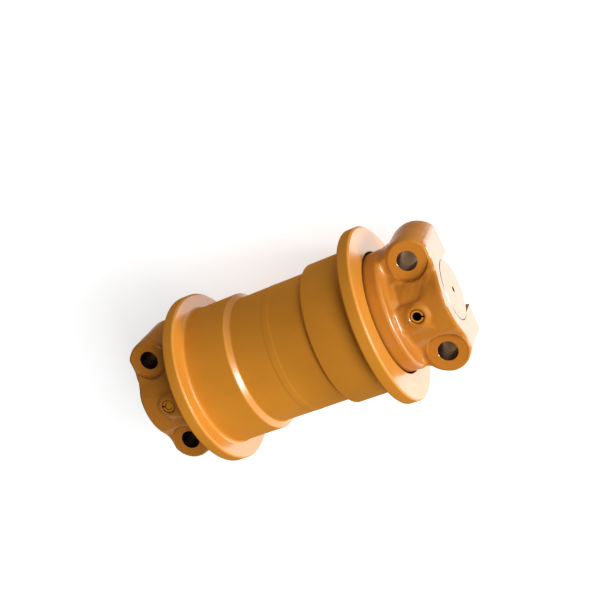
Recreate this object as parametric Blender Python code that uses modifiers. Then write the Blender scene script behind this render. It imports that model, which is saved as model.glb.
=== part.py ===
"""Track roller of a crawler undercarriage, modelled as the pieces it comes apart into.

The origin is the centre of the roller, on the axle. +Y runs along the axle, +Z points to the
side the bolt heads sit on, and the four mounting pads face -Z. Sizes below are in millimetres
and become metres where a mesh is made.
"""
import math

import bmesh
import bpy
from mathutils import Matrix, Vector

MM = 0.001
STEPS = 36            # facets round every piece that is turned about the axle
SMALL_STEPS = 24      # facets round holes, pins and bosses
GAP = 0.3             # clearance left between neighbouring pieces

# rolling shell
FLANGE_R = 110.0
FLANGE_OUT = 128.5    # outer face of the flange
FLANGE_IN = 112.0     # inner face of the flange, towards the tread
TREAD_R = 89.0
TREAD_END = 52.6      # where the tread steps down to the middle
MID_R = 81.8
MID_END = 48.2
RECESS_R = 76.3       # open recess in the flange face
WELD_HALF = 4.5       # half width of the seam between the shell halves
WELD_ROOT_R = 74.0
POCKET_R = 58.0       # oil space round the thrust flange

# axle
JOURNAL_R = 40.0
JOURNAL_END = 126.5
SHAFT_R = 36.9
SHAFT_END = 208.0
THRUST_R = 52.0
THRUST_HALF = 8.0
OIL_BORE_R = 5.0
OIL_DRILL_R = 3.0
OIL_DRILL_Y = 50.0
PLUG_R = 10.0
PLUG_DEPTH = 12.0
PLUG_KEY_R = 4.6
PLUG_KEY_DEPTH = 5.5
GROOVE_Y = 143.0      # O-ring groove under each collar
GROOVE_HALF = 2.5
GROOVE_R = 34.2

# bushings
BUSH_R = 46.0
BUSH_END = 88.0
BUSH_FLANGE_R = 56.0
BUSH_FLANGE_T = 4.0

# face seals, mirrored about the plane where the two metal rings run together
SEAL_PLANE = 112.0
SEAL_BORE_R = 46.0
SEAL_BODY_R = 52.0
SEAL_LIP_R = 60.5
SEAL_LIP_T = 4.0
SEAL_LENGTH = 15.8
HOUSING_DEPTH = 21.0  # floor of each seal housing, from the seal plane
HOUSING_MOUTH = 1.5
HOUSING_R = 62.6
HOUSING_FLOOR_R = 61.6
TORIC_AT = 10.5
TORIC_R = 57.0
TORIC_WIRE = 4.4

# end collar
COLLAR_BORE_R = 37.4
SKIRT_R = 74.6
SKIRT_END = 147.0
HUB_R = 54.5
COLLAR_END = 207.6
NECK_X = 68.0
FOOT_Z = -44.0        # mounting plane
EAR_TOP = 29.5
BOLT_X = 58.5
BOLT_Y = 180.5
BOLT_HOLE_R = 12.0
EAR_R = 26.0
EAR_FLARE = 3.4       # how much wider the ear is where it meets the end face
EAR_FRONT = 66.0      # direction of that corner from the bolt, in degrees from X
SEAT_R = 23.5
SEAT_TOP = 32.0
SLOT_X = 35.5         # half width of the opening under the axle
SLOT_START = 150.0
PIN_Y = 171.5
PIN_BOSS_R = 13.0
PIN_BOSS_TOP = 57.5
PAD_X = 14.0          # half width of the raised pad between the shoulder and the pin
PAD_TOP = 55.3

# spring pin
PIN_R = 8.0
PIN_BORE_R = 5.0
PIN_HOLE_R = 8.5
PIN_TOP = 56.6
PIN_BOTTOM = 12.0
PIN_SLIT = 2.6

PAINT = (0.52, 0.22, 0.035, 1.0)
STEEL = (0.42, 0.40, 0.37, 1.0)
BRONZE = (0.55, 0.36, 0.16, 1.0)
RUBBER = (0.02, 0.02, 0.022, 1.0)


def clear_scene():
    for obj in list(bpy.data.objects):
        bpy.data.objects.remove(obj, do_unlink=True)


def make_collection(name):
    collection = bpy.data.collections.new(name)
    bpy.context.scene.collection.children.link(collection)
    return collection


def finish(name, color, roughness, metallic):
    material = bpy.data.materials.new(name)
    material.use_nodes = True
    shader = material.node_tree.nodes["Principled BSDF"]
    shader.inputs["Base Color"].default_value = color
    shader.inputs["Roughness"].default_value = roughness
    shader.inputs["Metallic"].default_value = metallic
    return material


def mirrored(profile):
    """The same turned profile for the -Y end, still running down its outer side."""
    return [(r, -y) for r, y in reversed(profile)]


def arc(centre_r, centre_y, radius, start, end, count):
    """Points on a profile arc; angles in degrees from +R towards +Y."""
    points = []
    for i in range(count + 1):
        angle = math.radians(start + (end - start) * i / count)
        points.append((centre_r + radius * math.cos(angle), centre_y + radius * math.sin(angle)))
    return points


def turned(name, profile, material, collection, closed=True):
    """Solid of revolution about the axle from (radius, y) points that run from +Y to -Y outside."""
    vertices = [(r * MM, y * MM, 0.0) for r, y in profile]
    edges = [(i, i + 1) for i in range(len(vertices) - 1)]
    if closed:
        edges.append((len(vertices) - 1, 0))
    mesh = bpy.data.meshes.new(name)
    mesh.from_pydata(vertices, edges, [])
    obj = bpy.data.objects.new(name, mesh)
    collection.objects.link(obj)
    screw = obj.modifiers.new("turn", "SCREW")
    screw.axis = 'Y'
    screw.steps = STEPS
    screw.render_steps = STEPS
    screw.use_merge_vertices = True
    screw.merge_threshold = 0.00001
    screw.use_smooth_shade = True
    obj.data.materials.append(material)
    return obj


def cylinder(name, radius, low, high, place, axis, collection, steps=SMALL_STEPS):
    """Solid cylinder from low to high along axis ('Y' or 'Z'), centred on place.

    It is turned by half a facet, so that its corners miss the corners of the turned pieces.
    """
    bpy.ops.mesh.primitive_cylinder_add(vertices=steps, radius=radius * MM, depth=(high - low) * MM)
    obj = bpy.context.active_object
    along, lean = {'Y': (Vector((0, 1, 0)), -math.pi / 2), 'Z': (Vector((0, 0, 1)), 0.0)}[axis]
    turn = Matrix.Rotation(lean, 4, 'X') @ Matrix.Rotation(math.pi / steps, 4, 'Z')
    middle = Vector(place) + along * (low + high) / 2
    obj.data.transform(Matrix.Translation(middle * MM) @ turn)
    return adopt(obj, name, collection)


def box(name, low, high, collection):
    bpy.ops.mesh.primitive_cube_add(size=1.0)
    obj = bpy.context.active_object
    low, high = Vector(low), Vector(high)
    size = (high - low) * MM
    obj.data.transform(Matrix.Translation((low + high) / 2 * MM) @ Matrix.Diagonal((*size, 1.0)))
    return adopt(obj, name, collection)


def plate(name, outline, low_z, high_z, collection):
    """Flat outline in X and Y given thickness in Z, as a mesh that can be joined and cut."""
    curve = bpy.data.curves.new(name, 'CURVE')
    curve.dimensions = '2D'
    curve.fill_mode = 'BOTH'
    curve.extrude = (high_z - low_z) / 2 * MM
    spline = curve.splines.new('POLY')
    spline.points.add(len(outline) - 1)
    spline.use_cyclic_u = True
    for point, (x, y) in zip(spline.points, outline):
        point.co = (x * MM, y * MM, 0.0, 1.0)
    drawn = bpy.data.objects.new(name + "_outline", curve)
    collection.objects.link(drawn)
    drawn.location.z = (low_z + high_z) / 2 * MM
    bpy.context.view_layer.update()
    graph = bpy.context.evaluated_depsgraph_get()
    mesh = bpy.data.meshes.new_from_object(drawn.evaluated_get(graph))
    welded = bmesh.new()
    welded.from_mesh(mesh)
    bmesh.ops.remove_doubles(welded, verts=welded.verts, dist=0.00001)
    welded.to_mesh(mesh)
    welded.free()
    mesh.transform(drawn.matrix_world)
    bpy.data.objects.remove(drawn)
    obj = bpy.data.objects.new(name, mesh)
    collection.objects.link(obj)
    return obj


def adopt(obj, name, collection):
    for other in list(obj.users_collection):
        other.objects.unlink(obj)
    collection.objects.link(obj)
    obj.name = name
    obj.data.name = name
    return obj


def hide_cutters(collection):
    for obj in collection.objects:
        obj.hide_render = True
        obj.display_type = 'WIRE'


def boolean(obj, operation, other):
    modifier = obj.modifiers.new(other.name, "BOOLEAN")
    modifier.operation = operation
    modifier.solver = 'EXACT'
    modifier.object = other


def turn_end_for_end(name, source, collection):
    """A second copy of a finished piece, turned half round about Z to sit at the -Y end."""
    graph = bpy.context.evaluated_depsgraph_get()
    mesh = bpy.data.meshes.new_from_object(source.evaluated_get(graph))
    mesh.name = name
    obj = bpy.data.objects.new(name, mesh)
    collection.objects.link(obj)
    obj.rotation_euler.z = math.pi
    return obj


def shell_profile():
    seam = GAP / 2
    housing_floor = SEAL_PLANE - HOUSING_DEPTH
    housing_mouth = SEAL_PLANE - HOUSING_MOUTH
    bush_seat = THRUST_HALF + BUSH_FLANGE_T + 2 * GAP
    fillet = 4.0
    profile = [(FLANGE_R - 2.0, FLANGE_OUT), (FLANGE_R, FLANGE_OUT - 2.0)]
    profile += [(FLANGE_R, FLANGE_IN + 2.0), (FLANGE_R - 2.0, FLANGE_IN)]
    profile += arc(TREAD_R + fillet, FLANGE_IN - fillet, fillet, 90.0, 180.0, 3)
    profile += [(TREAD_R, TREAD_END + 1.0), (TREAD_R - 1.0, TREAD_END), (MID_R, MID_END)]
    profile += [(MID_R, WELD_HALF + GAP), (WELD_ROOT_R - GAP, WELD_HALF + GAP)]
    profile += [(WELD_ROOT_R - GAP, seam), (POCKET_R, seam), (POCKET_R, bush_seat)]
    profile += [(BUSH_R + GAP, bush_seat), (BUSH_R + GAP, housing_floor)]
    profile += [(HOUSING_FLOOR_R, housing_floor), (HOUSING_R, housing_mouth)]
    profile += [(RECESS_R, housing_mouth), (RECESS_R, FLANGE_OUT - 1.0)]
    profile += [(RECESS_R + 1.0, FLANGE_OUT)]
    return profile


def shell_halves(material, collection):
    turned("shell_half_right", shell_profile(), material, collection)
    turned("shell_half_left", mirrored(shell_profile()), material, collection)


def weld_seam(material, collection):
    crown = MID_R + 0.3
    profile = [(MID_R - 0.3, WELD_HALF), (crown, WELD_HALF / 2), (crown, -WELD_HALF / 2)]
    profile += [(MID_R - 0.3, -WELD_HALF), (WELD_ROOT_R, -WELD_HALF), (WELD_ROOT_R, WELD_HALF)]
    turned("weld_seam", profile, material, collection)


def shaft_half_profile():
    """Outer side of the axle from the middle of its +Y end down to the thrust flange."""
    profile = [(0.0, SHAFT_END), (SHAFT_R - 1.5, SHAFT_END), (SHAFT_R, SHAFT_END - 1.5)]
    profile += [(SHAFT_R, GROOVE_Y + GROOVE_HALF), (GROOVE_R, GROOVE_Y + GROOVE_HALF)]
    profile += [(GROOVE_R, GROOVE_Y - GROOVE_HALF), (SHAFT_R, GROOVE_Y - GROOVE_HALF)]
    profile += [(SHAFT_R, JOURNAL_END + 1.5), (JOURNAL_R, JOURNAL_END)]
    profile += [(JOURNAL_R, THRUST_HALF), (THRUST_R, THRUST_HALF)]
    return profile


def shaft(material, collection, cutters):
    profile = shaft_half_profile() + mirrored(shaft_half_profile())
    axle = turned("shaft", profile, material, collection, closed=False)
    centre = (0, 0, 0)
    oil = cylinder("cut_oil_bore", OIL_BORE_R, -SHAFT_END - 5, OIL_DRILL_Y + 8, centre, 'Y', cutters)
    seat = cylinder("cut_plug_seat", PLUG_R + GAP, -SHAFT_END - 5, PLUG_DEPTH - SHAFT_END, centre,
                    'Y', cutters)
    boolean(axle, 'DIFFERENCE', oil)
    boolean(axle, 'DIFFERENCE', seat)
    for side in (-1, 1):
        place = (0, side * OIL_DRILL_Y, 0)
        drill = cylinder(f"cut_oil_drill_{side}", OIL_DRILL_R, -JOURNAL_R - 2, -2, place, 'Z', cutters,
                         steps=12)
        boolean(axle, 'DIFFERENCE', drill)
        place = (0, side * PIN_Y, 0)
        hole = cylinder(f"cut_shaft_pin_{side}", PIN_HOLE_R, PIN_BOTTOM - 1, SHAFT_R + 5, place, 'Z',
                        cutters)
        boolean(axle, 'DIFFERENCE', hole)


def bushings(material, collection):
    start = THRUST_HALF + GAP
    shoulder = start + BUSH_FLANGE_T
    profile = [(JOURNAL_R + GAP, BUSH_END), (BUSH_R - 1.0, BUSH_END), (BUSH_R, BUSH_END - 1.0)]
    profile += [(BUSH_R, shoulder), (BUSH_FLANGE_R, shoulder), (BUSH_FLANGE_R, start)]
    profile += [(JOURNAL_R + GAP, start)]
    turned("bushing_right", profile, material, collection)
    turned("bushing_left", mirrored(profile), material, collection)


def seal_ring_profile():
    """Metal ring on the collar's side of the seal plane, its running face towards -Y."""
    face = SEAL_PLANE + GAP / 2
    lip = face + SEAL_LIP_T
    end = face + SEAL_LENGTH
    profile = [(SEAL_BORE_R, end), (SEAL_BODY_R - 1.0, end), (SEAL_BODY_R, end - 1.0)]
    profile += [(SEAL_BODY_R, lip + 1.0), (SEAL_LIP_R, lip), (SEAL_LIP_R, face), (SEAL_BORE_R, face)]
    return profile


def across_seal(profile):
    """The matching piece on the shell's side of the seal plane."""
    return [(r, 2 * SEAL_PLANE - y) for r, y in reversed(profile)]


def face_seals(metal, rubber, shell_side, collar_side):
    ring = seal_ring_profile()
    toric = arc(TORIC_R, SEAL_PLANE + TORIC_AT, TORIC_WIRE, 90.0, -222.0, 6)
    for piece, profile, material in (("ring", ring, metal), ("toric", toric, rubber)):
        turned(f"seal_{piece}_fixed_right", profile, material, collar_side)
        turned(f"seal_{piece}_fixed_left", mirrored(profile), material, collar_side)
        turning = across_seal(profile)
        turned(f"seal_{piece}_turning_right", turning, material, shell_side)
        turned(f"seal_{piece}_turning_left", mirrored(turning), material, shell_side)


def shaft_o_rings(material, collection):
    middle = (GROOVE_R + COLLAR_BORE_R) / 2
    wire = (COLLAR_BORE_R - GROOVE_R) / 2 - GAP
    profile = arc(middle, GROOVE_Y, wire, 90.0, -210.0, 5)
    turned("shaft_o_ring_right", profile, material, collection)
    turned("shaft_o_ring_left", mirrored(profile), material, collection)


def skirt_profile():
    """Round inner part of the collar: it reaches into the flange recess and holds the fixed seal."""
    floor = SEAL_PLANE + HOUSING_DEPTH
    mouth = SEAL_PLANE + HOUSING_MOUTH
    shoulder = 4.0
    profile = [(0.0, SKIRT_END)]
    profile += arc(SKIRT_R - shoulder, SKIRT_END - shoulder, shoulder, 90.0, 0.0, 3)
    profile += [(SKIRT_R, mouth + 1.0), (SKIRT_R - 1.0, mouth), (HOUSING_R, mouth)]
    profile += [(HOUSING_FLOOR_R, floor), (0.0, floor)]
    return profile


def lug_outline():
    """Plan of the collar's lugs: straight neck, round ear about each bolt, square front corner."""
    half = [(NECK_X, SKIRT_END - 0.6)]
    half += arc(BOLT_X, BOLT_Y, EAR_R, -50.0, 0.0, 5)
    for i in range(1, 7):
        angle = math.radians(EAR_FRONT * i / 6)
        reach = EAR_R + EAR_FLARE * i / 6
        half.append((BOLT_X + reach * math.cos(angle), BOLT_Y + reach * math.sin(angle)))
    half.append((half[-1][0], COLLAR_END + 2))
    return half + [(-x, y) for x, y in reversed(half)]


def collar_solids(cutters):
    """The lugs, hub and bosses that are one casting with the skirt."""
    parts = [plate("add_lugs", lug_outline(), FOOT_Z, EAR_TOP, cutters)]
    parts.append(cylinder("add_hub", HUB_R, SKIRT_END - 5, COLLAR_END + 4, (0, 0, 0), 'Y', cutters,
                          steps=STEPS))
    for side in (-1, 1):
        place = (side * BOLT_X, BOLT_Y, 0)
        parts.append(cylinder(f"add_seat_{side}", SEAT_R, 0, SEAT_TOP + 1, place, 'Z', cutters,
                              steps=32))
    parts.append(box("add_pin_pad", (-PAD_X, SKIRT_END - 7, 40), (PAD_X, PIN_Y + 2, PAD_TOP), cutters))
    parts.append(cylinder("add_pin_boss", PIN_BOSS_R, 45, PIN_BOSS_TOP, (0, PIN_Y, 0), 'Z', cutters))
    return parts


def collar_cuts(cutters):
    """The end face, the axle bore, the slot under it, the holes and the spot faces round them."""
    far = SHAFT_END + 10
    wide = BOLT_X + EAR_R + 10
    cuts = [cylinder("cut_axle_bore", COLLAR_BORE_R, 120, far, (0, 0, 0), 'Y', cutters,
                     steps=STEPS)]
    cuts.append(box("cut_end_face", (-wide, COLLAR_END, -wide), (wide, far + 3, wide), cutters))
    cuts.append(box("cut_slot", (-SLOT_X, SLOT_START, FOOT_Z - 20), (SLOT_X, far, 0), cutters))
    for side in (-1, 1):
        place = (side * BOLT_X, BOLT_Y, 0)
        cuts.append(cylinder(f"cut_bolt_{side}", BOLT_HOLE_R, FOOT_Z - 5, SEAT_TOP + 5, place, 'Z',
                             cutters))
        cuts.append(cylinder(f"cut_spot_face_{side}", SEAT_R + 0.7, SEAT_TOP, HUB_R + 5, place, 'Z',
                             cutters, steps=32))
    cuts.append(cylinder("cut_pin", PIN_HOLE_R, 10, PIN_BOSS_TOP + 5, (0, PIN_Y, 0), 'Z', cutters))
    return cuts


def collars(material, collection, cutters):
    collar = turned("collar_right", skirt_profile(), material, collection, closed=False)
    for solid in collar_solids(cutters):
        boolean(collar, 'UNION', solid)
    for cut in collar_cuts(cutters):
        boolean(collar, 'DIFFERENCE', cut)
    turn_end_for_end("collar_left", collar, collection)


def spring_pins(material, collection, cutters):
    place = (0, PIN_Y, 0)
    pin = cylinder("spring_pin_right", PIN_R, PIN_BOTTOM, PIN_TOP, place, 'Z', collection)
    pin.data.materials.append(material)
    bore = cylinder("cut_pin_bore", PIN_BORE_R, PIN_BOTTOM - 2, PIN_TOP + 2, place, 'Z', cutters)
    slit = box("cut_pin_slit", (-PIN_SLIT / 2, PIN_Y, PIN_BOTTOM - 2),
               (PIN_SLIT / 2, PIN_Y + PIN_R + 2, PIN_TOP + 2), cutters)
    boolean(pin, 'DIFFERENCE', bore)
    boolean(pin, 'DIFFERENCE', slit)
    turn_end_for_end("spring_pin_left", pin, collection)


def fill_plug(material, collection, cutters):
    outer = -SHAFT_END + 1.0
    plug = cylinder("fill_plug", PLUG_R, outer, outer + PLUG_DEPTH - 2.0, (0, 0, 0), 'Y', collection)
    plug.data.materials.append(material)
    key = cylinder("cut_plug_key", PLUG_KEY_R, outer - 2.0, outer + PLUG_KEY_DEPTH, (0, 0, 0), 'Y',
                   cutters, steps=6)
    boolean(plug, 'DIFFERENCE', key)


def parent_all(collection, empty_name):
    """Hold the pieces of one rigid body on an empty at the roller's centre."""
    empty = bpy.data.objects.new(empty_name, None)
    bpy.context.scene.collection.objects.link(empty)
    for obj in collection.objects:
        obj.parent = empty


def smooth_round_faces(collection):
    for obj in collection.objects:
        obj.data.shade_smooth()
        obj.data.set_sharp_from_angle(angle=math.radians(35))


def build():
    clear_scene()
    roller = make_collection("track_roller")
    turning = bpy.data.collections.new("turning_shell")
    fixed = bpy.data.collections.new("fixed_axle")
    roller.children.link(turning)
    roller.children.link(fixed)
    cutters = make_collection("cutters")
    paint = finish("roller_paint", PAINT, 0.45, 0.0)
    shell_paint = finish("shell_paint", PAINT, 0.38, 0.0)
    weld_paint = finish("weld_paint", PAINT, 0.5, 0.0)
    steel = finish("ground_steel", STEEL, 0.3, 1.0)
    seal_iron = finish("seal_iron", STEEL, 0.25, 1.0)
    pin_steel = finish("pin_steel", STEEL, 0.4, 1.0)
    bronze = finish("bronze_lining", BRONZE, 0.35, 1.0)
    rubber = finish("seal_rubber", RUBBER, 0.6, 0.0)
    shell_halves(shell_paint, turning)
    weld_seam(weld_paint, turning)
    bushings(bronze, turning)
    face_seals(seal_iron, rubber, turning, fixed)
    shaft(steel, fixed, cutters)
    shaft_o_rings(rubber, fixed)
    collars(paint, fixed, cutters)
    spring_pins(pin_steel, fixed, cutters)
    fill_plug(pin_steel, fixed, cutters)
    hide_cutters(cutters)
    smooth_round_faces(turning)
    smooth_round_faces(fixed)
    parent_all(turning, "shell_spin_axis")
    parent_all(fixed, "axle_frame")


build()
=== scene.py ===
"""Finished look of the track roller: fine meshes, materials, light and camera round the CAD frame.

Lengths are in millimetres until a mesh is made. +Y runs along the axle and +Z to the bolt heads.
"""
import math

import bmesh
import bpy
import numpy as np
from mathutils import Matrix, Vector


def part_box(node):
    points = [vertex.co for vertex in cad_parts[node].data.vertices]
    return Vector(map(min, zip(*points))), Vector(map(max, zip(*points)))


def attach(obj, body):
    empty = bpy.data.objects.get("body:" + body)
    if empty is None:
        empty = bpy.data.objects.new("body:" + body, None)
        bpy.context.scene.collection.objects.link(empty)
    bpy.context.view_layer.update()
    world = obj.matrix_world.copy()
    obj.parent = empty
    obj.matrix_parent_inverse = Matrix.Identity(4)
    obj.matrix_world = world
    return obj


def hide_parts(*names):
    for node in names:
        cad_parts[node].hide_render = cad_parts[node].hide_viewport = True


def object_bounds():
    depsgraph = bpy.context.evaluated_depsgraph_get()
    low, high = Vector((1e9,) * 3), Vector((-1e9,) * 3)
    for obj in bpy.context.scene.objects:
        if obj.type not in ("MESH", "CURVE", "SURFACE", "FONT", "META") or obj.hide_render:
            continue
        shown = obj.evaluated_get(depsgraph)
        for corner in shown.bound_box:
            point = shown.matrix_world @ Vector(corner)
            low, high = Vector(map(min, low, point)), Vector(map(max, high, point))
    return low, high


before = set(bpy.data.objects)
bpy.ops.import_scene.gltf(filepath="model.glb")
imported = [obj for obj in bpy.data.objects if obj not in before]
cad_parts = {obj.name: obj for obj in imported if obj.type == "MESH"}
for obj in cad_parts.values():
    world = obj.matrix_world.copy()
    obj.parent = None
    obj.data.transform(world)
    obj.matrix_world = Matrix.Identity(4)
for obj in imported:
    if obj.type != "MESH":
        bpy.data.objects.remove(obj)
CAD_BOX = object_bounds()

MM = 0.001
FINE = 192              # steps round the large turned pieces
MEDIUM = 96             # steps round holes and the plug
COARSE = 48             # steps round the centre hole
CELL = 1.25             # size of the cells that the casting is meshed with
FLAT = 0.9998           # a face this square to an axis is a machined flat
ENDS = (("right", 1), ("left", -1))
AXLE, SHELL = "axle_assembly", "rolling_shell"


def node_box(node):
    """Lowest and highest corner of a CAD node in millimetres."""
    low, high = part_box(node)
    return np.array(low) / MM, np.array(high) / MM


COLLAR_LOW, COLLAR_HIGH = node_box("collar_right")
PIN_LOW, PIN_HIGH = node_box("spring_pin_right")
END_Y = COLLAR_HIGH[1]          # end face of the collar
SKIRT_Y = COLLAR_LOW[1]         # inboard edge of the skirt
SKIRT_R = COLLAR_HIGH[2]
BOLT_X = 58.5
BOLT_Y = 180.5
BOLT_HOLE_R = 12.0
EAR_R = 26.0                    # mean radius of the ear about its bolt
EAR_DRAFT = 0.0354              # how far its walls lean out per millimetre down
EAR_TOP = 29.5
FOOT_Z = -44.0                  # foot of the ears, on the track frame
SEAT_R = 23.5                   # spot face under the bolt head
SEAT_TOP = 32.0
SEAT_STOCK = 0.3                # cast above the spot face and machined off
SEAT_RIM = 0.8                  # cast round the spot face and left standing
SHOULDER_Y = 147.0              # outboard end of the skirt
HUB_R = 54.5
NECK_X = 68.0                   # half width of the ears where they leave the skirt
SLOT_X = 35.5                   # half width of the slot under the axle
SLOT_START = 150.0
AXLE_BORE_R = 37.4
HOUSING_FLOOR_Y = 133.0         # floor of the seal housing in the skirt
HOUSING_FLOOR_R = 61.6
HOUSING_MOUTH_R = 62.6
PIN_Y = (PIN_LOW[1] + PIN_HIGH[1]) / 2
PIN_HOLE_R = 8.5
PIN_BOSS_R = 13.5
PIN_BOSS_TOP = 57.5
PAD_X = 14.0                    # half width of the raised pad along the hub
PAD_Y = 158.0
PAD_REACH = 16.0
WELD_ROOT_R = 74.0
WELD_LAP = 0.3                  # how far the weld's crown laps over the halves
CENTRE_HOLE_R = 1.7
BREAK = 0.35                    # chamfer at the mouth of a bolt hole


# ---------------------------------------------------------------- mesh tools

def new_piece(name, mesh, body, slot, *nodes):
    """Link a finished mesh, let it ride on its body and stand for its CAD nodes."""
    obj = bpy.data.objects.new(name, mesh)
    bpy.context.scene.collection.objects.link(obj)
    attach(obj, body)
    if nodes:
        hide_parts(*nodes)
    return obj


def mesh_from(name, points, faces):
    mesh = bpy.data.meshes.new(name)
    mesh.from_pydata([tuple(p) for p in np.asarray(points) * MM], [], faces)
    mesh.validate()
    return mesh


def smooth(mesh, angle=32.0):
    mesh.shade_smooth()
    mesh.set_sharp_from_angle(angle=math.radians(angle))


def dress(mesh, *materials):
    """Give a mesh its materials; machined flats are shaded flat."""
    mesh.materials.clear()
    for material in materials:
        mesh.materials.append(material)
    for polygon in mesh.polygons:
        polygon.material_index = 0
        polygon.use_smooth = max(abs(polygon.normal.y), abs(polygon.normal.z)) < FLAT


def rounded(outline, radius, closed=True, keep=()):
    """Replace corners of an outline, but those to keep, by curves tangent to both sides."""
    points = [Vector(p) for p in outline]
    count, steps = len(points), 5
    result = []
    for i, corner in enumerate(points):
        if (not closed and i in (0, count - 1)) or outline[i] in keep:
            result.append(tuple(corner))
            continue
        before, after = points[i - 1] - corner, points[(i + 1) % count] - corner
        turn = math.pi - before.angle(after)
        if turn < 0.02:
            result.append(tuple(corner))
            continue
        reach = radius * math.tan(turn / 2)
        reach = min(reach, 0.45 * before.length, 0.45 * after.length)
        start, end = corner + before.normalized() * reach, corner + after.normalized() * reach
        for k in range(steps + 1):
            t = k / steps
            result.append(tuple((1 - t) ** 2 * start + 2 * t * (1 - t) * corner + t ** 2 * end))
    return result


def turned_mesh(name, profile, steps=FINE, axis="Y", place=(0, 0, 0)):
    """Revolve a closed (radius, height) outline about the axle or about a vertical line."""
    rings = np.array(profile, float)
    angles = np.arange(steps) * 2 * math.pi / steps
    along = np.outer(np.cos(angles), rings[:, 0])
    across = np.outer(np.sin(angles), rings[:, 0])
    height = np.outer(np.ones(steps), rings[:, 1])
    points = np.stack([along, height, across] if axis == "Y" else [along, -across, height], -1)
    points = points.reshape(-1, 3) + np.array(place, float)
    count = len(rings)
    faces = []
    for i in range(steps):
        j = (i + 1) % steps
        for k in range(count):
            n = (k + 1) % count
            faces.append((i * count + k, j * count + k, j * count + n, i * count + n))
    mesh = mesh_from(name, points, faces)
    work = bmesh.new()
    work.from_mesh(mesh)
    bmesh.ops.remove_doubles(work, verts=work.verts, dist=1e-6)
    on_axis = [edge for edge in work.edges if not edge.link_faces]
    bmesh.ops.delete(work, geom=on_axis, context="EDGES")
    if work.calc_volume(signed=True) < 0:
        bmesh.ops.reverse_faces(work, faces=work.faces)
    work.to_mesh(mesh)
    work.free()
    return mesh


def block_mesh(low, high, bevel=0.0):
    """Cutter in the shape of a block."""
    work = bmesh.new()
    bmesh.ops.create_cube(work, size=1.0)
    low, high = Vector(low) * MM, Vector(high) * MM
    size = Matrix.Diagonal((*(high - low), 1.0))
    bmesh.ops.transform(work, matrix=Matrix.Translation((low + high) / 2) @ size, verts=work.verts)
    if bevel:
        bmesh.ops.bevel(work, geom=work.edges[:], offset=bevel * MM, segments=4, profile=0.5,
                        affect="EDGES")
    mesh = bpy.data.meshes.new("tool")
    work.to_mesh(mesh)
    work.free()
    return mesh


def cut_away(mesh, cutters):
    """Subtract cutter meshes in turn and return the resulting mesh."""
    base = bpy.data.objects.new("work", mesh)
    bpy.context.scene.collection.objects.link(base)
    tools = []
    for cutter in cutters:
        tool = bpy.data.objects.new("tool", cutter)
        bpy.context.scene.collection.objects.link(tool)
        tools.append(tool)
        modifier = base.modifiers.new("cut", "BOOLEAN")
        modifier.operation = "DIFFERENCE"
        modifier.solver = "MANIFOLD"
        modifier.object = tool
    graph = bpy.context.evaluated_depsgraph_get()
    result = bpy.data.meshes.new_from_object(base.evaluated_get(graph))
    for obj in [base] + tools:
        bpy.data.objects.remove(obj)
    return result


def cad_outline(node):
    """(radius, y) outline of a turned CAD node, in order, where it crosses the +X half plane."""
    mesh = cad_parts[node].data
    place = np.array([v.co for v in mesh.vertices]) / MM
    inside = (np.abs(place[:, 2]) < 0.002) & (place[:, 0] > -0.002)
    links = {}
    for edge in mesh.edges:
        a, b = edge.vertices
        if inside[a] and inside[b]:
            one, two = [tuple(np.round(place[v][:2], 3)) for v in (a, b)]
            if one != two:
                links.setdefault(one, set()).add(two)
                links.setdefault(two, set()).add(one)
    start = max(links, key=lambda p: (p[1], -p[0]))
    path = [start]
    ahead = sorted(links[start], key=lambda p: -p[0])
    while ahead:
        path.append(ahead[0])
        ahead = [p for p in sorted(links[path[-1]]) if p not in path]
    return path


# ---------------------------------------------------------------- casting field

def soft_min(a, b, width):
    h = np.clip(0.5 + 0.5 * (b - a) / width, 0, 1)
    return b + (a - b) * h - width * h * (1 - h)


def soft_max(a, b, width):
    return -soft_min(-a, -b, width)


def outline_distance(x, y, outline):
    """Signed distance in the plane to a closed outline, negative inside."""
    nearest = np.full(x.shape, 1e9)
    inside = np.zeros(x.shape, bool)
    for (ax, ay), (bx, by) in zip(outline, outline[1:] + outline[:1]):
        ex, ey = bx - ax, by - ay
        t = np.clip(((x - ax) * ex + (y - ay) * ey) / (ex * ex + ey * ey), 0, 1)
        nearest = np.minimum(nearest, (x - ax - t * ex) ** 2 + (y - ay - t * ey) ** 2)
        crosses = ((ay > y) != (by > y)) & (x < ex * (y - ay) / (ey if ey else 1e-9) + ax)
        inside ^= crosses
    return np.where(inside, -1, 1) * np.sqrt(nearest)


def lug_half(front):
    """One side of the lugs' plan at their top; front lists the reach towards the end face."""
    degrees = [-63, -54, -40, -27, -6, 3] + [angle for angle, _ in front]
    reach = [28.8, 27.9, 26.8, 26.0, 25.3, 25.0] + [far for _, far in front]
    half = [(NECK_X - 1.5, SHOULDER_Y - 6.0), (NECK_X + 0.6, SHOULDER_Y + 2.5)]
    for turn in range(degrees[0], degrees[-1] + 1, 3):
        angle, far = math.radians(turn), float(np.interp(turn, degrees, reach))
        half.append((BOLT_X + far * math.cos(angle), BOLT_Y + far * math.sin(angle)))
    return half + [(half[-1][0] - 1.0, END_Y + 6.0)]


def lug_plan():
    """Plan of the lugs: narrow neck, round ear about each bolt, square corner at the end face."""
    right = lug_half([(18, 24.6), (30, 24.4), (45, 24.5), (63, 25.3), (72, 28.4)])
    left = lug_half([(18, 25.0), (30, 25.3), (45, 25.9), (57, 26.8), (69, 29.2)])
    return right + [(-x, y) for x, y in reversed(left)]


def capped(distance, height, low, high, edge):
    """Distance to a solid that keeps to an outline and between two heights, edges rounded."""
    level = np.abs(height - (low + high) / 2) - (high - low) / 2
    a, b = distance + edge, level + edge
    return np.minimum(np.maximum(a, b), 0) + np.hypot(np.maximum(a, 0), np.maximum(b, 0)) - edge


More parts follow.
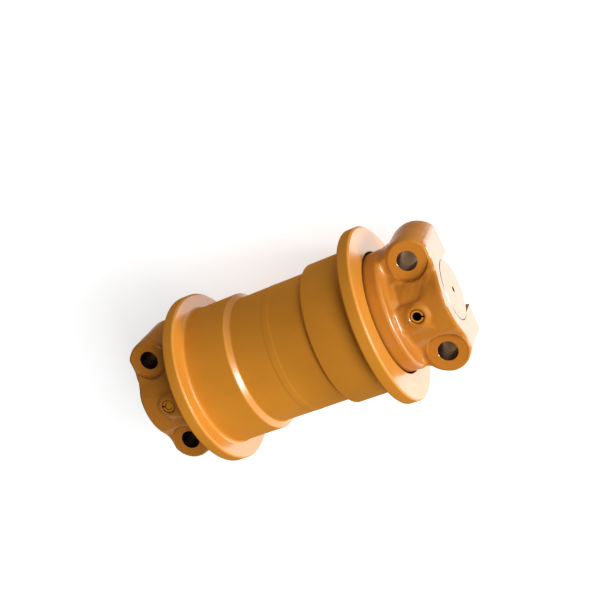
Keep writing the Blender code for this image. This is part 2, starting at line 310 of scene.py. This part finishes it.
def mottle(p, length):
    """Smooth irregular field in -1..1 with features about length millimetres long."""
    total = 0.0
    for i in range(9):
        bearing, up = 2.4 * i, math.sin(1.7 * i + 0.4)
        flat = math.sqrt(1 - up * up)
        wave = np.array([flat * math.cos(bearing), flat * math.sin(bearing), up])
        total = total + np.sin(p @ wave * (2 * math.pi / length) * (0.75 + 0.07 * i) + 1.9 * i)
    return total / 3.2


def rise(value, low, high):
    """Smooth step from 0 at low to 1 at high."""
    t = np.clip((value - low) / (high - low), 0, 1)
    return t * t * (3 - 2 * t)


LUG_PLAN = lug_plan()


def collar_field(p):
    """Distance-like value of the collar casting before machining, negative inside.

    The lengths of each blend, edge and swell are fitted to the look of the casting.
    """
    x, y, z = p[:, 0], p[:, 1], p[:, 2]
    from_axle = np.hypot(x, z)
    skirt = capped(from_axle - SKIRT_R, y, SKIRT_Y, SHOULDER_Y, 5.0)
    swell = (1.2 + 1.3 * rise(-x, 0.0, 30.0)) * rise(y, 182.0, 200.0)
    lifted = z - swell * rise(z, 0.0, EAR_TOP)
    leaning = outline_distance(x, y, LUG_PLAN) - EAR_DRAFT * (EAR_TOP - z)
    lugs = capped(leaning, lifted, FOOT_Z, EAR_TOP, 3.5)
    step = 2.5 + 16.0 * rise(y, 176.0, 192.0)
    hollow = rise(-x, 14.5, 14.5 + step) * rise(x, -43.0, -36.0)
    hollow *= rise(y, 150.0, 157.0) * rise(z, 18.0, 28.0)
    hub = np.maximum(from_axle - HUB_R + 2.8 * hollow, SHOULDER_Y - 8.0 - y)
    body = soft_min(lugs, hub, 11.0)
    for side, blend in ((-1, 2.5), (1, 7.0)):
        seat = np.hypot(x - side * BOLT_X, y - BOLT_Y) - SEAT_R - SEAT_RIM
        body = soft_min(body, capped(seat, z, 0.0, SEAT_TOP + SEAT_STOCK, 3.6), blend)
    body = soft_max(body, -np.maximum(seat + SEAT_RIM, SEAT_TOP + SEAT_STOCK - z), 1.0)
    pad = np.maximum(np.abs(x) - PAD_X, np.abs(y - PAD_Y) - PAD_REACH)
    pad = capped(pad, from_axle, 0.0, HUB_R + 1.0, 2.5)
    body = soft_min(body, pad, 2.0 + 10.0 * rise(x, -2.0, 12.0))
    boss = capped(np.hypot(x, y - PIN_Y) - PIN_BOSS_R, z, 0.0, PIN_BOSS_TOP, 3.5)
    body = soft_min(body, boss, 4.0)
    uneven = 0.10 * mottle(p, 24.0) + 0.05 * mottle(p, 9.0)
    body = body + uneven * rise(y, SHOULDER_Y, SHOULDER_Y + 6)
    body = body + 0.16 * hollow * mottle(p * (1.0, 0.5, 1.0), 3.2)
    return soft_max(soft_min(skirt, body, 7.0), y - END_Y - 1.0, 6.0)


def net_surface(field, low, high, cell):
    """Closed quad mesh on the zero level of a field, its points moved onto the level."""
    at_once, step, passes = 400000, 0.05, 3
    sizes = np.ceil((high - low) / cell).astype(int) + 1
    grid = np.stack(np.meshgrid(*[np.arange(n) for n in sizes], indexing="ij"), -1)
    values = np.empty(int(np.prod(sizes)))
    flat = grid.reshape(-1, 3)
    for start in range(0, len(flat), at_once):
        chunk = slice(start, start + at_once)
        values[chunk] = field(low + flat[chunk] * cell)
    values = values.reshape(sizes)
    inside = values < 0
    corner = [(i, j, k) for i in (0, 1) for j in (0, 1) for k in (0, 1)]
    total = sum(inside[i:sizes[0] - 1 + i, j:sizes[1] - 1 + j, k:sizes[2] - 1 + k].astype(int)
                for i, j, k in corner)
    cells = np.argwhere((total > 0) & (total < 8))
    number = np.full(sizes - 1, -1)
    number[tuple(cells.T)] = np.arange(len(cells))
    centre, hits = np.zeros((len(cells), 3)), np.zeros(len(cells))
    for a in corner:
        for axis in range(3):
            if a[axis]:
                continue
            b = list(a)
            b[axis] = 1
            va = values[tuple((cells + a).T)]
            vb = values[tuple((cells + b).T)]
            cross = (va < 0) != (vb < 0)
            t = np.where(cross, va / np.where(cross, va - vb, 1), 0)
            point = cells + np.array(a) + t[:, None] * (np.array(b) - a)
            centre += point * cross[:, None]
            hits += cross
    points = low + centre / hits[:, None] * cell
    faces = []
    for axis in range(3):
        u, v = (axis + 1) % 3, (axis + 2) % 3
        ahead = np.take(inside, range(1, sizes[axis]), axis)
        behind = np.take(inside, range(sizes[axis] - 1), axis)
        edges = np.argwhere(ahead != behind)
        edges = edges[(edges[:, u] > 0) & (edges[:, v] > 0)]
        outward = behind[tuple(edges.T)]
        quad = []
        for du, dv in ((-1, -1), (0, -1), (0, 0), (-1, 0)):
            at = edges.copy()
            at[:, u] += du
            at[:, v] += dv
            quad.append(number[tuple(at.T)])
        quad = np.stack(quad, 1)
        quad[~outward] = quad[~outward][:, ::-1]
        faces.append(quad)
    for _ in range(passes):
        value = field(points)
        slope = np.stack([(field(points + shift) - field(points - shift)) / (2 * step)
                          for shift in step * np.eye(3)], 1)
        length = np.maximum((slope ** 2).sum(1), 0.2)
        points = points - np.clip(value / length, -cell, cell)[:, None] * slope
    return points, np.concatenate(faces)


# ---------------------------------------------------------------- materials

def shader_setup(name):
    material = bpy.data.materials.new(name)
    material.use_nodes = True
    tree = material.node_tree
    return material, tree, tree.nodes["Principled BSDF"]


def add_node(tree, kind, **settings):
    node = tree.nodes.new(kind)
    for key, value in settings.items():
        setattr(node, key, value)
    return node


def coordinate(tree, kind, axis):
    """One component of the object's own coordinates or of its normal."""
    place = add_node(tree, "ShaderNodeTexCoord")
    parts = add_node(tree, "ShaderNodeSeparateXYZ")
    tree.links.new(place.outputs[kind], parts.inputs["Vector"])
    return parts.outputs[axis]


def noise(tree, scale, detail=3.0, roughness=0.5):
    """Noise in the object's own metres; scale is the number of blobs per metre."""
    place = add_node(tree, "ShaderNodeTexCoord")
    node = add_node(tree, "ShaderNodeTexNoise")
    node.inputs["Scale"].default_value = scale
    node.inputs["Detail"].default_value = detail
    node.inputs["Roughness"].default_value = roughness
    tree.links.new(place.outputs["Object"], node.inputs["Vector"])
    return node.outputs["Fac"]


def ramp(tree, source, stops):
    """Colour ramp from (position, colour) stops."""
    node = add_node(tree, "ShaderNodeValToRGB")
    elements = node.color_ramp.elements
    while len(elements) < len(stops):
        elements.new(0.5)
    for element, (position, color) in zip(elements, stops):
        element.position = position
        element.color = (*color, 1.0)
    tree.links.new(source, node.inputs["Fac"])
    return node.outputs["Color"]


def remap(tree, source, low, high, start=0.0, stop=1.0, kind="LINEAR"):
    """Low to high as the source goes from start to stop."""
    node = add_node(tree, "ShaderNodeMapRange", interpolation_type=kind)
    node.inputs["From Min"].default_value = start
    node.inputs["From Max"].default_value = stop
    node.inputs["To Min"].default_value = low
    node.inputs["To Max"].default_value = high
    tree.links.new(source, node.inputs["Value"])
    return node.outputs["Result"]


def seen_or_lit(tree, seen, lit):
    """One value for what the camera sees directly and another for the light it casts."""
    ray = add_node(tree, "ShaderNodeLightPath")
    return remap(tree, ray.outputs["Is Camera Ray"], lit, seen)


def in_reflections(tree, otherwise, value):
    """A value for rays off glossy surfaces, and another (a number or a socket) for the rest."""
    ray = add_node(tree, "ShaderNodeLightPath")
    node = add_node(tree, "ShaderNodeMix")
    tree.links.new(ray.outputs["Is Glossy Ray"], node.inputs["Factor"])
    if isinstance(otherwise, float):
        node.inputs["A"].default_value = otherwise
    else:
        tree.links.new(otherwise, node.inputs["A"])
    tree.links.new(value, node.inputs["B"])
    return node.outputs["Result"]


def bump(tree, shader, layers):
    """Stack bump layers given as (height source, depth in millimetres)."""
    normal = None
    for source, depth in layers:
        node = add_node(tree, "ShaderNodeBump")
        node.inputs["Distance"].default_value = depth * MM
        tree.links.new(source, node.inputs["Height"])
        if normal is not None:
            tree.links.new(normal, node.inputs["Normal"])
        normal = node.outputs["Normal"]
    tree.links.new(normal, shader.inputs["Normal"])


def multiply(tree, color, factor):
    """Darken a colour by a grey or coloured factor."""
    node = add_node(tree, "ShaderNodeMix", data_type="RGBA", blend_type="MULTIPLY")
    node.inputs["Factor"].default_value = 1.0
    tree.links.new(color, node.inputs["A"])
    tree.links.new(factor, node.inputs["B"])
    return node.outputs["Result"]


def enamel(name, dark, light, grain, gloss, haze):
    """Satin ochre enamel, glossier where it faces +Y along the axle, with painted shade in its
    corners and creases.

    grain is the depth in millimetres of the surface under the paint, and haze
    the roughness of the clear coat away from the end faces.
    """
    material, tree, shader = shader_setup(name)
    tone = ramp(tree, noise(tree, 14.0, 4.0), [(0.3, dark), (0.7, light)])
    # An occlusion test darkens the paint in corners and creases: painted shade, not dirt.
    corner = add_node(tree, "ShaderNodeAmbientOcclusion", samples=8)
    corner.inputs["Distance"].default_value = 9.0 * MM
    painted_corner_shade = ramp(tree, corner.outputs["AO"], [(0.25, (0.30, 0.20, 0.14)), (0.75, (1.0, 1.0, 1.0))])
    tree.links.new(multiply(tree, tone, painted_corner_shade), shader.inputs["Base Color"])
    tree.links.new(remap(tree, noise(tree, 60.0, 4.0), 0.34, 0.5), shader.inputs["Roughness"])
    end_on = remap(tree, coordinate(tree, "Normal", "Y"), 0.0, 1.0, 0.55, 0.97, "SMOOTHSTEP")
    for socket, low, high in (("Specular IOR Level", 0.0, 0.5), ("Coat Weight", gloss, 1.0),
                              ("Coat Roughness", haze, 0.2), ("Coat IOR", 1.5, 2.0)):
        tree.links.new(remap(tree, end_on, low, high), shader.inputs[socket])
    layers = [(noise(tree, 900.0, 2.0), 0.02), (noise(tree, 260.0, 5.0, 0.6), grain)]
    bump(tree, shader, layers)
    return material


def bored_steel():
    """Bare bored wall, browned by oil; darker with depth below the bolt head, a painted shade down
    the hole.
    """
    material, tree, shader = shader_setup("bored_steel")
    shader.inputs["Metallic"].default_value = 1.0
    shader.inputs["Specular Tint"].default_value = (0.75, 0.62, 0.52, 1.0)
    tone = ramp(tree, noise(tree, 70.0, 4.0),
                [(0.2, (0.11, 0.074, 0.056)), (0.8, (0.18, 0.132, 0.10))])
    # Painted shade: the colour darkens with depth below the bolt head.
    height = coordinate(tree, "Object", "Z")
    depth = remap(tree, height, 0.12, 1.0, -20.0 * MM, SEAT_TOP * MM)
    tree.links.new(multiply(tree, tone, depth), shader.inputs["Base Color"])
    tree.links.new(remap(tree, noise(tree, 150.0, 2.0), 0.2, 0.3), shader.inputs["Roughness"])
    bump(tree, shader, [(noise(tree, 400.0, 2.0), 0.01)])
    return material


def ground_steel(name, dark, light, roughness):
    material, tree, shader = shader_setup(name)
    shader.inputs["Metallic"].default_value = 1.0
    tone = ramp(tree, noise(tree, 45.0, 5.0), [(0.3, dark), (0.7, light)])
    tree.links.new(tone, shader.inputs["Base Color"])
    tree.links.new(remap(tree, noise(tree, 240.0, 4.0), roughness - 0.06, roughness + 0.1),
                   shader.inputs["Roughness"])
    bump(tree, shader, [(noise(tree, 1500.0, 2.0), 0.01)])
    return material


def rubber(name):
    material, tree, shader = shader_setup(name)
    tone = ramp(tree, noise(tree, 120.0, 4.0),
                [(0.3, (0.012, 0.012, 0.013)), (0.7, (0.03, 0.029, 0.028))])
    tree.links.new(tone, shader.inputs["Base Color"])
    tree.links.new(remap(tree, noise(tree, 400.0, 3.0), 0.45, 0.7), shader.inputs["Roughness"])
    bump(tree, shader, [(noise(tree, 1200.0, 2.0), 0.02)])
    return material


def studio_white():
    """Pale paper, seen bright by the camera and in reflections; in reflections only, its -X side
    is dark, a painted shade.
    """
    material, tree, shader = shader_setup("studio_white")
    tone = ramp(tree, noise(tree, 1.5, 2.0),
                [(0.0, (0.62, 0.62, 0.62)), (1.0, (0.66, 0.66, 0.66))])
    # Painted shade: the floor's -X side is darkened in reflections only.
    side = remap(tree, coordinate(tree, "Object", "X"), 0.12, 1.0, -0.12, -0.085)
    shade = in_reflections(tree, 1.0, side)
    glow = in_reflections(tree, seen_or_lit(tree, 0.62, 0.25), side)
    tree.links.new(multiply(tree, tone, shade), shader.inputs["Base Color"])
    tree.links.new(glow, shader.inputs["Emission Strength"])
    shader.inputs["Roughness"].default_value = 0.9
    shader.inputs["Specular IOR Level"].default_value = 0.1
    shader.inputs["Emission Color"].default_value = (1, 1, 1, 1)
    return material


SMOOTH_PAINT = enamel("smooth_enamel", (0.59, 0.222, 0.020), (0.66, 0.258, 0.026), 0.05, 0.12, 0.5)
# The cast enamel's colours are darker than the smooth enamel's: painted shade on the collars.
CAST_PAINT = enamel("cast_enamel", (0.46, 0.165, 0.016), (0.54, 0.195, 0.021), 0.16, 0.42, 0.2)
BORED = bored_steel()
STEEL = ground_steel("ground_steel", (0.40, 0.37, 0.33), (0.52, 0.50, 0.46), 0.30)
IRON = ground_steel("lapped_iron", (0.22, 0.22, 0.225), (0.34, 0.34, 0.34), 0.24)
BRONZE = ground_steel("bronze_lining", (0.50, 0.30, 0.12), (0.62, 0.42, 0.19), 0.32)
RUBBER = rubber("seal_rubber")


# ---------------------------------------------------------------- turned pieces

def turned_piece(node, body, slot, material, edge):
    """Fine version of a turned CAD node, its edges rounded by edge millimetres."""
    outline = cad_outline(node)
    weld_corners = [p for p in outline if abs(p[1]) < 6.0]
    mesh = turned_mesh(node + "_fine", rounded(outline, edge, keep=weld_corners))
    smooth(mesh)
    dress(mesh, material)
    return new_piece(node + "_fine", mesh, body, slot, node)


def rubber_ring(node, body):
    """Round rubber section where the CAD ring has a faceted one."""
    low, high = node_box(node)
    wire = (high[1] - low[1]) / 2
    centre = high[0] - wire, (low[1] + high[1]) / 2
    angles = [2 * math.pi * i / 24 for i in range(24)]
    profile = [(centre[0] + wire * math.cos(a), centre[1] + wire * math.sin(a)) for a in angles]
    mesh = turned_mesh(node + "_fine", profile)
    smooth(mesh)
    mesh.materials.append(RUBBER)
    return new_piece(node + "_fine", mesh, body, "seal_rubber", node)


def weld_seam():
    """Weld between the halves: fills their groove, its low crown just laps over their edges."""
    _, high = node_box("weld_seam")
    crown, wall = high[0], high[1] + WELD_LAP
    cap = [(5.4, -0.45), (4.7, -0.12), (3.6, -0.02), (1.6, 0.0)]
    half = [(WELD_ROOT_R, wall), (crown - 0.6, wall)] + [(crown + drop, y) for y, drop in cap]
    outline = half + [(radius, -y) for radius, y in half[::-1]]
    mesh = turned_mesh("weld_seam_fine", outline, 360)
    ripple, beads = 0.05, 75
    for vertex in mesh.vertices:
        x, y, z = vertex.co / MM
        radius = math.hypot(x, z)
        if radius > crown - 0.3:
            turn = math.atan2(x, z)
            phase = beads * turn + 0.25 * y * y + 2 * math.sin(5 * turn)
            swell = 1 + ripple * math.sin(phase) / radius
            vertex.co.x *= swell
            vertex.co.z *= swell
    smooth(mesh, 60.0)
    mesh.materials.append(SMOOTH_PAINT)
    new_piece("weld_seam_fine", mesh, SHELL, "weld_paint", "weld_seam")


def rolling_shell():
    for end, _ in ENDS:
        turned_piece(f"shell_half_{end}", SHELL, "shell_paint", SMOOTH_PAINT, 1.6)
        turned_piece(f"bushing_{end}", SHELL, "bronze_lining", BRONZE, 0.5)
        turned_piece(f"seal_ring_turning_{end}", SHELL, "seal_iron", IRON, 0.6)
        rubber_ring(f"seal_toric_turning_{end}", SHELL)
    weld_seam()


def fixed_seals():
    for end, _ in ENDS:
        turned_piece(f"seal_ring_fixed_{end}", AXLE, "seal_iron", IRON, 0.6)
        rubber_ring(f"seal_toric_fixed_{end}", AXLE)
        rubber_ring(f"shaft_o_ring_{end}", AXLE)


# ---------------------------------------------------------------- axle, pins and plug

def vertical_tool(radius, low, high, place, flare=0.0, mouth=0.0):
    """Cutter for a drilled hole; a flare chamfers the hole's mouth."""
    profile = [(0.0, high)]
    if flare:
        profile += [(radius + flare + high - mouth, high), (radius, mouth - flare)]
    else:
        profile += [(radius, high)]
    profile += [(radius, low), (0.0, low)]
    return turned_mesh("tool", profile, MEDIUM, axis="Z", place=(*place, 0.0))


def shaft():
    """Axle with a centre hole, an oil hollow, cross holes to the bushings and two pin holes."""
    (_, end), (radius, _), *middle, _, _ = cad_outline("shaft")
    corner = [(radius - 0.5, end), (radius, end - 0.5)]
    outline = [(0.0, end)] + corner + middle + [(r, -y) for r, y in corner[::-1]] + [(0.0, -end)]
    body = turned_mesh("shaft_fine", rounded(outline, 0.7, closed=False))
    drill = [(0, end + 1), (4.2, end + 1), (3.6, end), (CENTRE_HOLE_R, end - 2.6),
             (CENTRE_HOLE_R, end - 7.0), (0, end - 8.0)]
    plug_top = node_box("fill_plug")[1]
    seat_r, oil_r = plug_top[0] + 0.45, 5.0
    oil = [(0, 58.0), (oil_r, 55.0), (oil_r, plug_top[1] + 2), (seat_r, plug_top[1] + 1),
           (seat_r, 1.0 - end), (seat_r + 4, -3.0 - end), (0, -3.0 - end)]
    cutters = [turned_mesh("tool", drill, COARSE), turned_mesh("tool", oil, MEDIUM)]
    for _, side in ENDS:
        cutters.append(vertical_tool(PIN_HOLE_R, PIN_LOW[2] - 1, 45.0, (0, side * PIN_Y)))
        cutters.append(vertical_tool(3.0, -45.0, -2.0, (0, side * 50.0)))
    mesh = cut_away(body, cutters)
    smooth(mesh)
    dress(mesh, STEEL, CAST_PAINT, BORED)
    for polygon in mesh.polygons:
        place = polygon.center / MM
        if abs(place.y) > SLOT_START and (abs(polygon.normal.y) > 0.98 or place.z < -12.0):
            polygon.material_index = 1
        if math.hypot(place.x, place.z) < 2 * CENTRE_HOLE_R and abs(polygon.normal.y) < 0.9:
            polygon.material_index = 2
    new_piece("shaft_fine", mesh, AXLE, "ground_steel", "shaft")


def spring_pins():
    """Slotted tubes, the gap towards the end of the axle; the left one is filled with paint."""
    outer, wall = (PIN_HIGH[0] - PIN_LOW[0]) / 2 + 0.05, 3.0
    lean, gap = math.radians(72.0), 0.17
    low, high, steps = PIN_LOW[2], PIN_HIGH[2], 60
    for end, side in ENDS:
        work = bmesh.new()
        rows = []
        for height, inset in ((low, 0.6), (low + 0.8, 0.0), (high - 1.0, 0.0), (high, 0.7)):
            ring = []
            for i in range(steps + 1):
                angle = lean + gap + (2 * math.pi - 2 * gap) * i / steps
                for radius in (outer - inset, outer - wall + inset * 0.5):
                    x, y = radius * math.cos(angle), PIN_Y + radius * math.sin(angle)
                    ring.append(work.verts.new((side * x * MM, side * y * MM, height * MM)))
            rows.append(ring)
        for lower, upper in zip(rows, rows[1:]):
            for i in range(steps):
                o, n = 2 * i, 2 * i + 2
                work.faces.new((lower[o], lower[n], upper[n], upper[o]))
                work.faces.new((lower[n + 1], lower[o + 1], upper[o + 1], upper[n + 1]))
            work.faces.new((lower[1], lower[0], upper[0], upper[1]))
            work.faces.new((lower[-2], lower[-1], upper[-1], upper[-2]))
        for ring, flip in ((rows[0], True), (rows[-1], False)):
            for i in range(steps):
                quad = [ring[2 * i], ring[2 * i + 2], ring[2 * i + 3], ring[2 * i + 1]]
                work.faces.new(quad[::-1] if flip else quad)
        bmesh.ops.recalc_face_normals(work, faces=work.faces)
        if side < 0:
            bore, top = outer - wall + 0.3, high - 0.6
            filling = [(0, top), (0.5 * bore, top - 0.2), (0.85 * bore, top - 0.8),
                       (bore, top - 1.6), (bore, top - 9.0), (0, top - 9.0)]
            work.from_mesh(turned_mesh("filling", filling, steps, axis="Z", place=(0, -PIN_Y, 0)))
        mesh = bpy.data.meshes.new(f"spring_pin_{end}_fine")
        work.to_mesh(mesh)
        work.free()
        smooth(mesh)
        mesh.materials.append(SMOOTH_PAINT)
        mesh.materials.append(BORED)
        for polygon in mesh.polygons:
            place = polygon.center / MM
            from_pin = math.hypot(place.x, abs(place.y) - PIN_Y)
            # The inside of the right pin's tube gets the dark bored steel, a painted shade in the
            # tube; below the collar's surface the pins are bare steel.
            inner = from_pin < outer - 0.75 * wall and side > 0
            polygon.material_index = int(inner or place.z < high - 3.0)
        new_piece(f"spring_pin_{end}_fine", mesh, AXLE, "pin_paint", f"spring_pin_{end}")


def fill_plug():
    """Plug with a hexagon socket in its outer face."""
    low, high = node_box("fill_plug")
    radius, inner, outer = high[0], high[1], low[1]
    key_r, key_depth = 4.6, 5.5
    profile = [(0, inner), (radius, inner), (radius, outer), (0, outer)]
    body = turned_mesh("fill_plug_fine", rounded(profile, 0.8, closed=False), MEDIUM)
    key = [(0, outer + key_depth), (key_r, outer + key_depth), (key_r, outer - 2), (0, outer - 2)]
    mesh = cut_away(body, [turned_mesh("tool", key, 6)])
    smooth(mesh)
    mesh.materials.clear()
    mesh.materials.append(STEEL)
    new_piece("fill_plug_fine", mesh, AXLE, "plug_steel", "fill_plug")


# ---------------------------------------------------------------- end collars

def bolt_tool(side):
    """Bolt hole with its chamfer and the spot face round it."""
    reach, top = SEAT_R + 0.7, 90
    profile = [(0, top), (reach, top), (reach, SEAT_TOP + 0.8), (reach - 0.8, SEAT_TOP),
               (BOLT_HOLE_R + BREAK, SEAT_TOP), (BOLT_HOLE_R, SEAT_TOP - BREAK),
               (BOLT_HOLE_R, FOOT_Z + 0.7), (BOLT_HOLE_R + 1.7, FOOT_Z - 1), (0, FOOT_Z - 1)]
    return turned_mesh("tool", profile, MEDIUM, axis="Z", place=(side * BOLT_X, BOLT_Y, 0.0))


def bore_tool():
    """Axle bore with its mouth chamfer, and the seal housing inside the skirt."""
    profile = [(0, END_Y + 5), (AXLE_BORE_R + 5.5, END_Y + 5), (AXLE_BORE_R, END_Y - 0.5),
               (AXLE_BORE_R, HOUSING_FLOOR_Y), (HOUSING_FLOOR_R, HOUSING_FLOOR_Y),
               (HOUSING_MOUTH_R, SKIRT_Y), (HOUSING_MOUTH_R, SKIRT_Y - 5), (0, SKIRT_Y - 5)]
    return turned_mesh("tool", profile)


def collar_mesh():
    """Right collar: the casting, machined, with bare steel on its bored walls, and dark bored
    steel on the slot walls as painted shade under the axle.
    """
    low = np.array([-BOLT_X - EAR_R - 2, SKIRT_Y - 2, -SKIRT_R - 2])
    high = np.array([BOLT_X + EAR_R + 2, END_Y + 8, SKIRT_R + 2])
    points, faces = net_surface(collar_field, low, high, CELL)
    casting = mesh_from("casting", points, faces.tolist())
    mesh = cut_away(casting, [
        bolt_tool(-1), bolt_tool(1), bore_tool(),
        block_mesh((-150, END_Y, -150), (150, END_Y + 40, 150)),
        block_mesh((-SLOT_X, SLOT_START, -100), (SLOT_X, END_Y + 30, 0), bevel=2.0),
        vertical_tool(PIN_HOLE_R, 5.0, 80.0, (0, PIN_Y), flare=0.8, mouth=PIN_BOSS_TOP)])
    smooth(mesh, 38.0)
    dress(mesh, CAST_PAINT, BORED)
    for polygon in mesh.polygons:
        centre = polygon.center / MM
        from_bolt = math.hypot(abs(centre.x) - BOLT_X, centre.y - BOLT_Y)
        from_axle = math.hypot(centre.x, centre.z)
        from_pin = math.hypot(centre.x, centre.y - PIN_Y)
        drilled = min(from_bolt - BOLT_HOLE_R, from_pin - PIN_HOLE_R) < 0.3
        # The bore's wall and its narrow mouth chamfer get bare steel; on the chamfer this dark
        # steel is a painted shade for the gap round the axle.
        bored = from_axle < AXLE_BORE_R + 0.5
        # The slot walls get the dark bored steel: painted shade under the axle.
        shaded_slot = abs(abs(centre.x) - SLOT_X) < 0.1 and centre.y > SLOT_START and centre.z < 0
        if (drilled and abs(polygon.normal.z) < 0.5 or bored and abs(polygon.normal.y) < 0.9
                or shaded_slot):
            polygon.material_index = 1
    return mesh


def collars():
    """The left collar is the mirror image of the right one."""
    mesh = collar_mesh()
    for end, side in ENDS:
        own = mesh.copy()
        own.name = f"collar_{end}_fine"
        if side < 0:
            own.transform(Matrix.Scale(-1, 4, (0, 1, 0)))
            own.flip_normals()
        new_piece(f"collar_{end}_fine", own, AXLE, "collar_paint", f"collar_{end}")


# ---------------------------------------------------------------- studio

def floor():
    """Pale floor, 0.5 mm under the lowest point of the flanges."""
    bpy.ops.mesh.primitive_plane_add(size=14.0, location=(0, 0, CAD_BOX[0].z - 0.5 * MM))
    plane = bpy.context.active_object
    plane.name = "studio_floor"
    plane.data.materials.append(studio_white())


def soft_light(name, direction, distance, size, power):
    """Rectangular soft box that stands in the given direction from the roller."""
    light = bpy.data.lights.new(name, "AREA")
    light.shape = "RECTANGLE"
    light.size, light.size_y = size
    light.energy = power
    obj = bpy.data.objects.new(name, light)
    bpy.context.scene.collection.objects.link(obj)
    obj.location = Vector(direction).normalized() * distance
    obj.rotation_euler = (-obj.location).to_track_quat("-Z", "Y").to_euler()


def studio():
    floor()
    soft_light("end_light", (0.15, 1.0, 0.26), 3.5, (0.85, 0.43), 78.0)
    soft_light("high_light", (0.12, 0.6, 0.75), 3.5, (5.2, 1.8), 123.0)
    world = bpy.data.worlds.new("studio")
    world.use_nodes = True
    tree = world.node_tree
    background = tree.nodes["Background"]
    background.inputs["Color"].default_value = (1, 1, 1, 1)
    tree.links.new(seen_or_lit(tree, 0.95, 0.18), background.inputs["Strength"])
    bpy.context.scene.world = world
    bpy.context.scene.view_settings.view_transform = "Standard"


def camera():
    """Looks down on the roller from beyond its right end, the -X side up in the picture."""
    at = Vector((-0.3016, 0.4925, 1.1182))
    aim = Vector((-0.0540, 0.0287, 0.0))
    picture_up = Vector((-0.896, 0.444, 0.0))
    data = bpy.data.cameras.new("camera")
    data.lens = 60.9
    obj = bpy.data.objects.new("camera", data)
    bpy.context.scene.collection.objects.link(obj)
    back = (at - aim).normalized()
    right = picture_up.cross(back).normalized()
    turn = Matrix((right, back.cross(right), back)).transposed()
    obj.matrix_world = Matrix.Translation(at) @ turn.to_4x4()
    bpy.context.scene.camera = obj


rolling_shell()
fixed_seals()
shaft()
spring_pins()
fill_plug()
collars()
studio()
camera()
